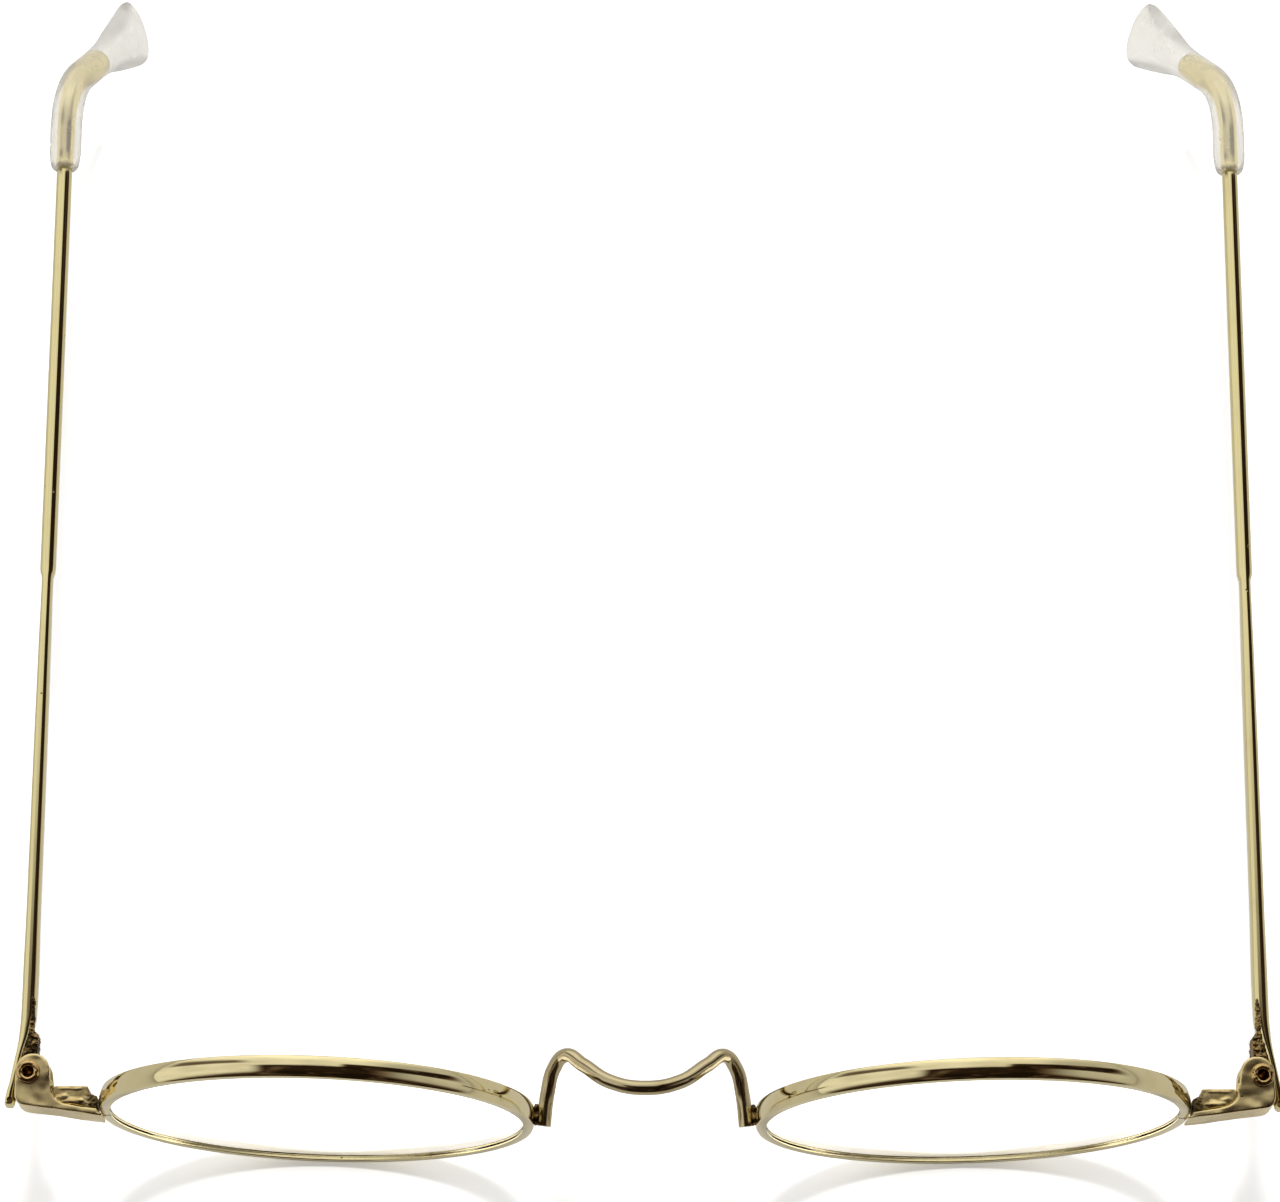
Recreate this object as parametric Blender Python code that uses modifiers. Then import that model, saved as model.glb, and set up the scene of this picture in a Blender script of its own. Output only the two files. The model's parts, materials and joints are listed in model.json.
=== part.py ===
"""Round wire-rim eyeglasses with folding temples and clear ear tips.

The front faces -Y and the temples run back along +Y. Left and right are the wearer's, so left is +X.
The origin is on the surface that the glasses stand on, under the middle of the whole object.
Inside this file a place is (x, depth, height): x outwards from the nose, depth back from the front of the
rims, and height above the level of the hinges. The function place() turns it into a Blender point.
"""

import math

import bmesh
import bpy
from mathutils import Matrix, Vector

MM = 0.001
SIDES = {"left": 1.0, "right": -1.0}

# Overall
FRONT_Y = -66.64 * MM  # front of the rims at their middle
STANDING_HEIGHT = 22.5 * MM  # hinges, rim centres and bridge feet above the surface

# Rims and lenses
RIM_RADIUS = 22.5 * MM
RIM_WALL = 1.2 * MM
RIM_DEPTH = 2.2 * MM
RIM_CROWN = 0.25 * MM  # the outer face is domed by this much
GROOVE_DEPTH = 0.5 * MM
GROOVE_HALF_WIDTH = 0.65 * MM
GROOVE_FORWARD = 0.27 * MM  # the groove and the lens sit in front of the middle of the rim
RIM_SLIT = 0.3 * MM
RIM_CENTRE_X = 33.8 * MM
FACE_WRAP = math.radians(1.5)
LENS_THICKNESS = 1.0 * MM
LENS_PLAY = 0.12 * MM
ROUND_STEPS = 64

# Bridge
BRIDGE_WIRE = 1.5 * MM
BRIDGE_HALF = (  # (x, depth, height) in mm from the foot on the rim to the crest over the nose
    (10.45, -0.45, 0.0),
    (10.05, 3.0, 0.5),
    (9.4, 5.3, 1.5),
    (8.15, 6.35, 3.0),
    (6.4, 5.1, 4.4),
    (3.6, 3.05, 5.8),
    (0.0, 2.25, 6.5),
)

# Endpiece, a U-bracket whose two ears hold the hinge rivet
BRACKET_HEIGHT = 4.0 * MM
EAR_THICKNESS = 0.6 * MM
WALL_THICKNESS = 0.7 * MM
WALL_SLOPE = math.tan(math.radians(8.0))
WALL_START_X = 55.85 * MM
WALL_START_DEPTH = 0.12 * MM
LAP_LENGTH = 0.5 * MM  # the wall's thin lip in front of the rim
LAP_THICKNESS = 0.33 * MM
BRACKET_OUTER_X = 64.95 * MM
BRACKET_CORNER = 1.2 * MM
WALL_END_X = 64.9 * MM
LOBE_RADIUS = 1.75 * MM
LOBE_DEPTH = 4.9 * MM
WAIST_RADIUS = 2.05 * MM  # hollow curve between the ears and the wall
WAIST_X = 59.2 * MM
WAIST_DEPTH = 3.4 * MM

# Hinge
PIVOT_X = 63.65 * MM
PIVOT_DEPTH = 4.7 * MM
HINGE_LEAN = math.radians(1.25)  # both axes lean this way, so one folded temple lies over the other
HOLE_RADIUS = 0.82 * MM
RIVET_SHANK = 0.74 * MM
RIVET_BORE = 0.5 * MM
RIVET_HEAD_GAP = 0.06 * MM
RIVET_LIP = (  # (radius, height above the ear) in mm, rolled from the mouth of the bore out to the rim
    (0.65, 0.28),
    (0.85, 0.42),
    (1.02, 0.38),
    (1.18, 0.26),
    (1.25, 0.12),
    (1.2, 0.0),
)
RIVET_FOOT = ((1.25, 0.0), (1.25, 0.15), (1.0, 0.3), (0.0, 0.34))  # (radius, depth below the ear) in mm
EYE_RADIUS = 1.5 * MM
LEAF_HEIGHT = 2.3 * MM
LEAF_LENGTH = 4.6 * MM
LEAF_INNER_X = -0.8 * MM
LEAF_ROOT = 1.9 * MM  # where the leaf's straight inner face begins, behind its eye
LEAF_CORNER = 0.5 * MM
LEAF_EDGE = (4.6, 2.1, -0.7, -0.95)  # mm behind the axis, along the temple
SOLDER_GAP = 0.06 * MM

# Rim lock, the split block that closes the rim round its lens
LOCK_INNER_X = 56.45 * MM
LOCK_NECK_X = 57.2 * MM
LOCK_OUTER_X = 61.0 * MM
LOCK_BACK = 3.3 * MM
LOCK_NECK_BACK = 2.5 * MM
LOCK_HEIGHT = 1.65 * MM
LOCK_SPLIT = 0.16 * MM
LOCK_SCREW_X = 59.0 * MM
LOCK_SCREW_DEPTH = 2.4 * MM
LOCK_SCREW_RADIUS = 0.42 * MM
LOCK_SCREW_HEAD = 0.8 * MM
LOCK_SCREW_HEAD_HEIGHT = 0.5 * MM
LOCK_HOLE_RADIUS = 0.5 * MM
LOCK_CHAMFER = 0.25 * MM
LOCK_PLAY = 0.1 * MM  # under the screw's head, past its tip, and half the width of its slot

# Temple, measured from the hinge axis
TEMPLE_OFFSET = 0.3 * MM
FLAT_HALF_WIDTH = 0.72 * MM
FLAT_HALF_HEIGHT = 1.2 * MM
STEP_AT = 54.0 * MM
STEP_LENGTH = 1.2 * MM
ROUND_RADIUS = 0.84 * MM
CORE_RADIUS = 0.65 * MM
CORE_STEP = (-0.4 * MM, 1.4 * MM)  # the round half narrows to the core between these, from the sleeve's mouth
TEMPLE_FRONT = (  # (distance behind the axis, x from the axis, half width, half height) in mm
    (-3.4, 1.97, 0.36, 0.8),
    (-3.2, 1.95, 0.5, 1.0),
    (-2.4, 1.87, 0.5, 1.15),
    (-0.7, 1.56, 0.41, 1.2),
    (2.1, 1.05, 0.41, 1.2),
    (5.5, 0.45, 0.6, 1.2),
    (9.3, 0.3, 0.72, 1.2),
)

# Ear tip
SLEEVE_START = 101.2 * MM
SLEEVE_RADIUS = 1.72 * MM
BORE_PLAY = 0.08 * MM
BEND_AT = 111.0 * MM
BEND_REACH = 5.0 * MM
TIP_DROP = 19.9 * MM
TIP_BACK = 16.24 * MM
TIP_INWARDS = {"left": 7.3 * MM, "right": 5.9 * MM}  # the left tip is bent further in
CORE_PAST_BEND = 11.0 * MM
NECK_PAST_BEND = 12.0 * MM
MOUTH_SHAPE = ((0.0, 0.72), (0.25, 0.82), (1.0, 0.94), (2.2, 1.0))  # (mm past the mouth, share of radius)
PADDLE_SHAPE = (  # (share of the way from neck to end, wide, thick) in sleeve radii
    (-0.22, 1.0, 0.96),
    (0.0, 1.06, 0.88),
    (0.3, 1.5, 0.74),
    (0.6, 1.93, 0.64),
    (0.8, 2.13, 0.58),
    (0.89, 2.05, 0.54),
    (0.95, 1.75, 0.46),
    (0.985, 1.22, 0.34),
    (1.0, 0.6, 0.16),
)
PADDLE_SIDEWAYS = Vector((-0.3, -0.8, -0.52))  # the flat of the paddle lies along this and the leg
SECTION_POINTS = 12
TIP_SECTION_POINTS = 16


# ---------------------------------------------------------------- scene and materials


def clear_scene():
    for obj in list(bpy.data.objects):
        bpy.data.objects.remove(obj, do_unlink=True)


def new_collection(name):
    collection = bpy.data.collections.new(name)
    bpy.context.scene.collection.children.link(collection)
    return collection


def material(name, colour, metallic, roughness, alpha=1.0, transmission=0.0):
    made = bpy.data.materials.new(name)
    made.use_nodes = True
    shader = made.node_tree.nodes["Principled BSDF"]
    shader.inputs["Base Color"].default_value = (*colour, 1.0)
    shader.inputs["Metallic"].default_value = metallic
    shader.inputs["Roughness"].default_value = roughness
    shader.inputs["Alpha"].default_value = alpha
    shader.inputs["Transmission Weight"].default_value = transmission
    return made


def gold(name):
    return material(name, (0.80, 0.69, 0.42), 1.0, 0.14)


# ---------------------------------------------------------------- object builders


def place(side, x, depth, height=0.0):
    return Vector((side * x, FRONT_Y + depth, STANDING_HEIGHT + height))


def add_part(name, mesh, look, parent=None):
    obj = bpy.data.objects.new(name, mesh)
    PARTS.objects.link(obj)
    obj.data.materials.append(look)
    obj.parent = parent
    return obj


def add_cutter(name, mesh, parent=None):
    obj = bpy.data.objects.new(name, mesh)
    CUTTERS.objects.link(obj)
    obj.hide_render = True
    obj.display_type = "WIRE"
    obj.parent = parent
    return obj


def cut(target, cutter):
    boolean = target.modifiers.new("Cut " + cutter.name, "BOOLEAN")
    boolean.operation = "DIFFERENCE"
    boolean.solver = "EXACT"
    boolean.object = cutter


def smooth_round(mesh, sharp_angle=35.0):
    mesh.shade_smooth()
    mesh.set_sharp_from_angle(angle=math.radians(sharp_angle))


def face_outwards(mesh):
    work = bmesh.new()
    work.from_mesh(mesh)
    bmesh.ops.remove_doubles(work, verts=work.verts, dist=0.001 * MM)
    bmesh.ops.recalc_face_normals(work, faces=work.faces)
    work.to_mesh(mesh)
    work.free()


def mesh_of_curve(curve):
    """The closed mesh of a curve, with its caps welded on."""
    holder = bpy.data.objects.new(curve.name, curve)
    bpy.context.scene.collection.objects.link(holder)
    graph = bpy.context.evaluated_depsgraph_get()
    mesh = bpy.data.meshes.new_from_object(holder.evaluated_get(graph))
    bpy.data.objects.remove(holder)
    bpy.data.curves.remove(curve)
    face_outwards(mesh)
    return mesh


def plate_mesh(name, outline, bottom, top):
    """A flat outline of (x, y) points, filled and thickened between two heights."""
    curve = bpy.data.curves.new(name, "CURVE")
    curve.dimensions = "2D"
    curve.fill_mode = "BOTH"
    curve.extrude = (top - bottom) / 2
    spline = curve.splines.new("POLY")
    spline.points.add(len(outline) - 1)
    for point, (x, y) in zip(spline.points, outline):
        point.co = (x, y, 0.0, 1.0)
    spline.use_cyclic_u = True
    mesh = mesh_of_curve(curve)
    mesh.transform(Matrix.Translation((0, 0, (top + bottom) / 2)))
    return mesh


def cylinder_mesh(name, radius, bottom, top, steps=24):
    mesh = bpy.data.meshes.new(name)
    work = bmesh.new()
    bmesh.ops.create_cone(
        work, cap_ends=True, segments=steps, radius1=radius, radius2=radius, depth=top - bottom
    )
    bmesh.ops.translate(work, verts=work.verts, vec=(0, 0, (top + bottom) / 2))
    work.to_mesh(mesh)
    work.free()
    return mesh


def box_mesh(name, lowest, highest):
    mesh = bpy.data.meshes.new(name)
    work = bmesh.new()
    bmesh.ops.create_cube(work, size=1.0)
    size = Vector(highest) - Vector(lowest)
    bmesh.ops.scale(work, verts=work.verts, vec=size)
    bmesh.ops.translate(work, verts=work.verts, vec=Vector(lowest) + size / 2)
    work.to_mesh(mesh)
    work.free()
    return mesh


def turned_part(name, profile, look, closed=False, steps=ROUND_STEPS, parent=None):
    """A profile of (radius, height) points, run from the top down its outer side and turned about Z."""
    count = len(profile)
    edges = [(i, i + 1) for i in range(count - 1)]
    if closed:
        edges.append((count - 1, 0))
    mesh = bpy.data.meshes.new(name)
    mesh.from_pydata([(radius, 0.0, height) for radius, height in profile], edges, [])
    obj = add_part(name, mesh, look, parent)
    screw = obj.modifiers.new("Turn", "SCREW")
    screw.axis = "Z"
    screw.steps = steps
    screw.render_steps = steps
    screw.use_merge_vertices = True
    screw.merge_threshold = 0.000001
    screw.use_smooth_shade = True
    return obj


def loft_mesh(name, rings):
    """One closed skin over rings that have the same number of points each, capped at both ends."""
    mesh = bpy.data.meshes.new(name)
    work = bmesh.new()
    rows = [[work.verts.new(point) for point in ring] for ring in rings]
    around = len(rows[0])
    for row, following in zip(rows, rows[1:]):
        for i in range(around):
            j = (i + 1) % around
            work.faces.new((row[i], row[j], following[j], following[i]))
    work.faces.new(rows[0])
    work.faces.new(rows[-1])
    bmesh.ops.recalc_face_normals(work, faces=work.faces)
    work.to_mesh(mesh)
    work.free()
    return mesh


def arc(x, y, radius, start, end, steps):
    """Points on an arc, with its angles in degrees."""
    angles = [math.radians(start + (end - start) * i / steps) for i in range(steps + 1)]
    return [(x + radius * math.cos(angle), y + radius * math.sin(angle)) for angle in angles]


def mirrored(side, outline):
    return [(side * x, y) for x, y in outline]


# ---------------------------------------------------------------- front


def rim_profile():
    half = RIM_DEPTH / 2
    inner = RIM_RADIUS - RIM_WALL
    steps = [i / 2 for i in range(-2, 3)]
    outer_face = [(RIM_RADIUS - RIM_CROWN * t * t, -half * t) for t in steps]
    inner_face = [
        (inner, -half),
        (inner, GROOVE_FORWARD - GROOVE_HALF_WIDTH),
        (inner + GROOVE_DEPTH, GROOVE_FORWARD),
        (inner, GROOVE_FORWARD + GROOVE_HALF_WIDTH),
        (inner, half),
    ]
    return outer_face + inner_face


def lens_profile():
    half = LENS_THICKNESS / 2
    edge = RIM_RADIUS - RIM_WALL + GROOVE_DEPTH - LENS_PLAY
    shoulder = edge - GROOVE_DEPTH * half / GROOVE_HALF_WIDTH
    section = [(0.0, half), (shoulder, half), (edge, 0.0), (shoulder, -half), (0.0, -half)]
    return [(radius, z + GROOVE_FORWARD) for radius, z in section]


def stand_in_front(obj, side):
    """Turns a piece that was modelled about Z so that it stands as a rim or a lens does."""
    obj.location = place(side, RIM_CENTRE_X, RIM_DEPTH / 2)
    obj.rotation_euler = (math.pi / 2, 0.0, side * FACE_WRAP)


def build_rim(name, side):
    rim = turned_part(name + "_rim", rim_profile(), gold(name + "_rim_gold"), closed=True)
    stand_in_front(rim, side)
    reach = 2 * RIM_WALL
    slit = box_mesh(
        name + "_rim_slit",
        place(1, RIM_CENTRE_X + RIM_RADIUS - reach, -RIM_DEPTH, -RIM_SLIT / 2),
        place(1, RIM_CENTRE_X + RIM_RADIUS + reach, 2 * RIM_DEPTH, RIM_SLIT / 2),
    )
    slit.transform(Matrix.Diagonal((side, 1, 1, 1)))
    face_outwards(slit)
    cut(rim, add_cutter(name + "_rim_slit", slit))


def build_lens(name, side):
    look = material(name + "_lens_clear", (0.97, 0.98, 0.98), 0.0, 0.03, 0.3, 0.9)
    lens = turned_part(name + "_lens", lens_profile(), look)
    stand_in_front(lens, side)


def build_bridge():
    half = [Vector(point) * MM for point in BRIDGE_HALF]
    route = [place(1, *point) for point in half] + [place(-1, *point) for point in reversed(half[:-1])]
    curve = bpy.data.curves.new("bridge", "CURVE")
    curve.dimensions = "3D"
    curve.bevel_depth = BRIDGE_WIRE / 2
    curve.bevel_resolution = 3
    curve.resolution_u = 4
    curve.use_fill_caps = True
    spline = curve.splines.new("BEZIER")
    spline.bezier_points.add(len(route) - 1)
    for knot, point in zip(spline.bezier_points, route):
        knot.co = point
        knot.handle_left_type = "AUTO"
        knot.handle_right_type = "AUTO"
    mesh = mesh_of_curve(curve)
    smooth_round(mesh, 60)
    add_part("bridge", mesh, gold("bridge_gold"))


# ---------------------------------------------------------------- endpiece and rim lock


def wall_front(x):
    return WALL_START_DEPTH + (x - WALL_START_X) * WALL_SLOPE


def wall_back(x):
    return wall_front(x) + WALL_THICKNESS


def bracket_outline():
    """The U-bracket from above: lip, sloping wall, rounded corner, round lobe and hollow waist."""
    corner_x = BRACKET_OUTER_X - BRACKET_CORNER
    corner_depth = wall_front(corner_x) + BRACKET_CORNER
    lobe_x = BRACKET_OUTER_X - LOBE_RADIUS
    lip_end = WALL_START_X + LAP_LENGTH
    outline = [(WALL_START_X, wall_front(WALL_START_X))]
    outline += arc(corner_x, corner_depth, BRACKET_CORNER, -82, 0, 6)
    outline += arc(lobe_x, LOBE_DEPTH, LOBE_RADIUS, 0, 180, 14)
    outline += arc(WAIST_X, WAIST_DEPTH, WAIST_RADIUS, 0, -84, 6)
    outline += [
        (lip_end, wall_back(lip_end)),
        (lip_end, wall_front(lip_end) + LAP_THICKNESS),
        (WALL_START_X, wall_front(WALL_START_X) + LAP_THICKNESS),
    ]
    return outline


def slot_outline():
    """The space between the two ears, behind the wall and out past its end."""
    inner_x = WAIST_X - WAIST_RADIUS / 4
    outside = BRACKET_OUTER_X + LOBE_RADIUS
    behind = LOBE_DEPTH + 2 * LOBE_RADIUS
    return [
        (inner_x, wall_back(inner_x)),
        (WALL_END_X, wall_back(WALL_END_X)),
        (WALL_END_X, 0.0),
        (outside, 0.0),
        (outside, behind),
        (inner_x, behind),
    ]


def in_place(side, outline):
    return [(point.x, point.y) for point in (place(side, x, depth) for x, depth in outline)]


def build_endpiece(name, side, hinge):
    top = BRACKET_HEIGHT / 2
    low, high = STANDING_HEIGHT - top, STANDING_HEIGHT + top
    mesh = plate_mesh(name + "_endpiece", in_place(side, bracket_outline()), low, high)
    smooth_round(mesh)
    endpiece = add_part(name + "_endpiece", mesh, gold(name + "_endpiece_gold"))
    slot = plate_mesh(
        name + "_slot", in_place(side, slot_outline()), low + EAR_THICKNESS, high - EAR_THICKNESS
    )
    cut(endpiece, add_cutter(name + "_slot", slot))
    hole = cylinder_mesh(name + "_ear_hole", HOLE_RADIUS, -2 * top, 2 * top)
    cut(endpiece, add_cutter(name + "_ear_hole", hole, hinge))


def lock_outline():
    """One half of the rim lock from above, fitted behind the bracket's wall and into its waist."""
    waist = arc(WAIST_X, WAIST_DEPTH, WAIST_RADIUS - SOLDER_GAP, -84, -24, 5)
    return [
        (LOCK_INNER_X, wall_back(LOCK_INNER_X) + SOLDER_GAP),
        *waist,
        (LOCK_OUTER_X, LOCK_BACK - LOCK_CHAMFER),
        (LOCK_OUTER_X - LOCK_CHAMFER, LOCK_BACK),
        (LOCK_NECK_X + LOCK_CHAMFER, LOCK_BACK),
        (LOCK_NECK_X, LOCK_NECK_BACK),
        (LOCK_INNER_X, LOCK_NECK_BACK - LOCK_CHAMFER),
    ]


def build_rim_lock(name, side):
    outline = in_place(side, lock_outline())
    middle = STANDING_HEIGHT
    gap = LOCK_SPLIT / 2
    heights = {"upper": (gap, gap + LOCK_HEIGHT), "lower": (-gap - LOCK_HEIGHT, -gap)}
    centre = place(side, LOCK_SCREW_X, LOCK_SCREW_DEPTH)
    blind_top = gap + 0.75 * LOCK_HEIGHT
    hole = cylinder_mesh(name + "_lock_hole", LOCK_HOLE_RADIUS, -2 * LOCK_HEIGHT, blind_top)
    hole_cutter = add_cutter(name + "_lock_hole", hole)
    hole_cutter.location = centre
    for half, (bottom, top) in heights.items():
        part_name = f"{name}_rim_lock_{half}"
        mesh = plate_mesh(part_name, outline, middle + bottom, middle + top)
        block = add_part(part_name, mesh, gold(part_name + "_gold"))
        cut(block, hole_cutter)
    build_lock_screw(name, centre, blind_top - LOCK_PLAY)


def build_lock_screw(name, centre, tip):
    """A slotted screw that goes up through the lower half into the upper half."""
    under_head = -LOCK_SPLIT / 2 - LOCK_HEIGHT - LOCK_PLAY
    head_bottom = under_head - LOCK_SCREW_HEAD_HEIGHT
    profile = [
        (0.0, tip),
        (0.7 * LOCK_SCREW_RADIUS, tip),
        (LOCK_SCREW_RADIUS, tip - 0.3 * LOCK_SCREW_RADIUS),
        (LOCK_SCREW_RADIUS, under_head),
        (LOCK_SCREW_HEAD, under_head),
        (LOCK_SCREW_HEAD, head_bottom + LOCK_PLAY),
        (LOCK_SCREW_HEAD - LOCK_PLAY, head_bottom),
        (0.0, head_bottom),
    ]
    look = material(name + "_lock_screw_steel", (0.62, 0.55, 0.38), 1.0, 0.25)
    screw = turned_part(name + "_rim_lock_screw", profile, look, steps=20)
    screw.location = centre
    slot = box_mesh(
        name + "_screw_slot",
        (-2 * LOCK_SCREW_HEAD, -LOCK_PLAY, head_bottom - LOCK_PLAY),
        (2 * LOCK_SCREW_HEAD, LOCK_PLAY, head_bottom + LOCK_SCREW_HEAD_HEIGHT / 2),
    )
    slot_cutter = add_cutter(name + "_screw_slot", slot)
    slot_cutter.location = centre
    cut(screw, slot_cutter)


# ---------------------------------------------------------------- hinge


def build_hinge_axis(name, side):
    """The empty on a hinge axis, which the rivet and every piece of its temple hang from."""
    hinge = bpy.data.objects.new(name + "_hinge_axis", None)
    PARTS.objects.link(hinge)
    hinge.empty_display_size = 5 * MM
    hinge.location = place(side, PIVOT_X, PIVOT_DEPTH)
    hinge.rotation_euler = (0.0, HINGE_LEAN, 0.0)
    return hinge


def build_rivet(name, hinge):
    """A hollow rivet, rolled over at the top and closed at the bottom."""
    seat = BRACKET_HEIGHT / 2 + RIVET_HEAD_GAP
    bore_floor = -seat / 2
    profile = [
        (0.0, bore_floor),
        (RIVET_BORE, bore_floor),
        (RIVET_BORE, seat),
        *((radius * MM, seat + height * MM) for radius, height in RIVET_LIP),
        (RIVET_SHANK, seat),
        (RIVET_SHANK, -seat),
        *((radius * MM, -seat - depth * MM) for radius, depth in RIVET_FOOT),
    ]
    look = material(name + "_rivet_brass", (0.45, 0.27, 0.10), 1.0, 0.3)
    turned_part(name + "_hinge_rivet", profile, look, steps=20, parent=hinge)


def temple_inner_face(y):
    """The x of the temple's inner face beside the hinge leaf."""
    for (y0, x0, w0, _), (y1, x1, w1, _) in zip(TEMPLE_FRONT, TEMPLE_FRONT[1:]):
        if y <= y1 * MM:
            t = (y / MM - y0) / (y1 - y0)
            return ((x0 - w0) * (1 - t) + (x1 - w1) * t) * MM
    return (x1 - w1) * MM


def leaf_outline():
    """The leaf from above: an eye round the rivet and a plate along the temple's inner face."""
    outline = [(temple_inner_face(y * MM) - SOLDER_GAP, y * MM) for y in LEAF_EDGE]
    last_x, last_y = outline[-1]
    start = math.degrees(math.atan2(last_y, last_x)) - 6
    outline += arc(0, 0, EYE_RADIUS, start, -195, 14)
    outline += [
        (LEAF_INNER_X, LEAF_ROOT),
        (LEAF_INNER_X, LEAF_LENGTH - LEAF_CORNER),
        (LEAF_INNER_X + LEAF_CORNER, LEAF_LENGTH),
    ]
    return outline


def build_leaf(name, side, hinge):
    half = LEAF_HEIGHT / 2
    mesh = plate_mesh(name + "_hinge_leaf", mirrored(side, leaf_outline()), -half, half)
    smooth_round(mesh)
    leaf = add_part(name + "_hinge_leaf", mesh, gold(name + "_hinge_leaf_gold"), hinge)
    hole = cylinder_mesh(name + "_leaf_hole", HOLE_RADIUS, -LEAF_HEIGHT, LEAF_HEIGHT)
    cut(leaf, add_cutter(name + "_leaf_hole", hole, hinge))


# ---------------------------------------------------------------- temple and ear tip


def stadium(centre, half_width, half_height):
    """A section across Y: round above and below, with flat flanks when it is taller than wide."""
    straight = half_height - half_width
    ring = []
    for i in range(SECTION_POINTS):
        angle = 2 * math.pi * (i + 0.5) / SECTION_POINTS
        z = half_width * math.sin(angle) + math.copysign(straight, math.sin(angle))
        ring.append(centre + Vector((half_width * math.cos(angle), 0.0, z)))
    return ring


def leg_direction(name):
    return Vector((-TIP_INWARDS[name], TIP_BACK, -TIP_DROP)).normalized()


def leg_length(name):
    return Vector((-TIP_INWARDS[name], TIP_BACK, -TIP_DROP)).length


def tip_route(name, distance):
    """(point, direction) at a distance behind the hinge axis, along the temple's sharp centre line."""
    corner = Vector((TEMPLE_OFFSET, BEND_AT, 0.0))
    back, leg = Vector((0, 1, 0)), leg_direction(name)
    past = distance - BEND_AT
    if past <= -BEND_REACH:
        return corner + back * past, back
    if past >= BEND_REACH:
        return corner + leg * past, leg
    t = (past + BEND_REACH) / (2 * BEND_REACH)
    start, end = corner - back * BEND_REACH, corner + leg * BEND_REACH
    point = start * (1 - t) ** 2 + corner * 2 * t * (1 - t) + end * t**2
    return point, (back * (1 - t) + leg * t).normalized()


def tip_ring(name, distance, wide, thick, points):
    """An oval ring across the ear tip's route: wide along the paddle, thick through it."""
    centre, along = tip_route(name, distance)
    sideways = (PADDLE_SIDEWAYS - along * PADDLE_SIDEWAYS.dot(along)).normalized()
    through = along.cross(sideways)
    ring = []
    for i in range(points):
        angle = 2 * math.pi * (i + 0.5) / points
        ring.append(centre + sideways * wide * math.cos(angle) + through * thick * math.sin(angle))
    return ring


def bend_distances(first, last, steps):
    return [first + (last - first) * i / steps for i in range(steps + 1)]


def on_side(side, rings):
    return [[Vector((side * p.x, p.y, p.z)) for p in ring] for ring in rings]


def build_temple(name, side, hinge):
    """Flattened front half, a step, round rear half, and the thin core that the ear tip is pushed over."""
    rings = []
    for y, x, half_width, half_height in TEMPLE_FRONT:
        rings.append(stadium(Vector((x, y, 0)) * MM, half_width * MM, half_height * MM))
    shapes = (
        (STEP_AT, FLAT_HALF_WIDTH, FLAT_HALF_HEIGHT),
        (STEP_AT + STEP_LENGTH, ROUND_RADIUS, ROUND_RADIUS),
        (SLEEVE_START + CORE_STEP[0], ROUND_RADIUS, ROUND_RADIUS),
        (SLEEVE_START + CORE_STEP[1], CORE_RADIUS, CORE_RADIUS),
    )
    for y, half_width, half_height in shapes:
        rings.append(stadium(Vector((TEMPLE_OFFSET, y, 0)), half_width, half_height))
    for distance in bend_distances(BEND_AT - BEND_REACH, BEND_AT + CORE_PAST_BEND, 12):
        rings.append(core_ring(name, distance, CORE_RADIUS))
    mesh = loft_mesh(name + "_temple", on_side(side, rings))
    smooth_round(mesh, 40)
    add_part(name + "_temple", mesh, gold(name + "_temple_gold"), hinge)


def core_ring(name, distance, radius):
    """A round ring whose points start where those of the temple's sections do."""
    centre, along = tip_route(name, distance)
    outwards = (Vector((1, 0, 0)) - along * along.x).normalized()
    up = outwards.cross(along)
    ring = []
    for i in range(SECTION_POINTS):
        angle = 2 * math.pi * (i + 0.5) / SECTION_POINTS
        ring.append(centre + outwards * radius * math.cos(angle) + up * radius * math.sin(angle))
    return ring


def tip_shapes(name):
    """(distance, wide, thick) along the ear tip: sleeve, neck, fan-shaped paddle and its round end."""
    neck = BEND_AT + NECK_PAST_BEND
    end = BEND_AT + leg_length(name)
    shapes = [(SLEEVE_START + distance * MM, share, share) for distance, share in MOUTH_SHAPE]
    shapes += [(d, 1.0, 1.0) for d in bend_distances(BEND_AT - BEND_REACH, BEND_AT + BEND_REACH, 6)]
    shapes += [(neck + share * (end - neck), wide, thick) for share, wide, thick in PADDLE_SHAPE]
    return [(d, wide * SLEEVE_RADIUS, thick * SLEEVE_RADIUS) for d, wide, thick in shapes]


def build_ear_tip(name, side, hinge):
    rings = [tip_ring(name, *shape, TIP_SECTION_POINTS) for shape in tip_shapes(name)]
    mesh = loft_mesh(name + "_ear_tip", on_side(side, rings))
    smooth_round(mesh, 60)
    look = material(name + "_ear_tip_clear", (0.93, 0.92, 0.88), 0.0, 0.12, 0.55, 0.7)
    tip = add_part(name + "_ear_tip", mesh, look, hinge)
    mouth_radius = ROUND_RADIUS + 1.5 * BORE_PLAY
    mouth = (
        (SLEEVE_START - CORE_STEP[1], mouth_radius),
        (SLEEVE_START - CORE_STEP[0] / 2, mouth_radius),
        (SLEEVE_START + 1.4 * CORE_STEP[1], CORE_RADIUS + BORE_PLAY),
    )
    bore = [stadium(Vector((TEMPLE_OFFSET, y, 0)), radius, radius) for y, radius in mouth]
    core_end = BEND_AT + CORE_PAST_BEND + 2 * BORE_PLAY
    for distance in bend_distances(BEND_AT - BEND_REACH, core_end, 12):
        bore.append(core_ring(name, distance, CORE_RADIUS + BORE_PLAY))
    cut(tip, add_cutter(name + "_tip_bore", loft_mesh(name + "_tip_bore", on_side(side, bore)), hinge))


# ---------------------------------------------------------------- assembly

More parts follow.
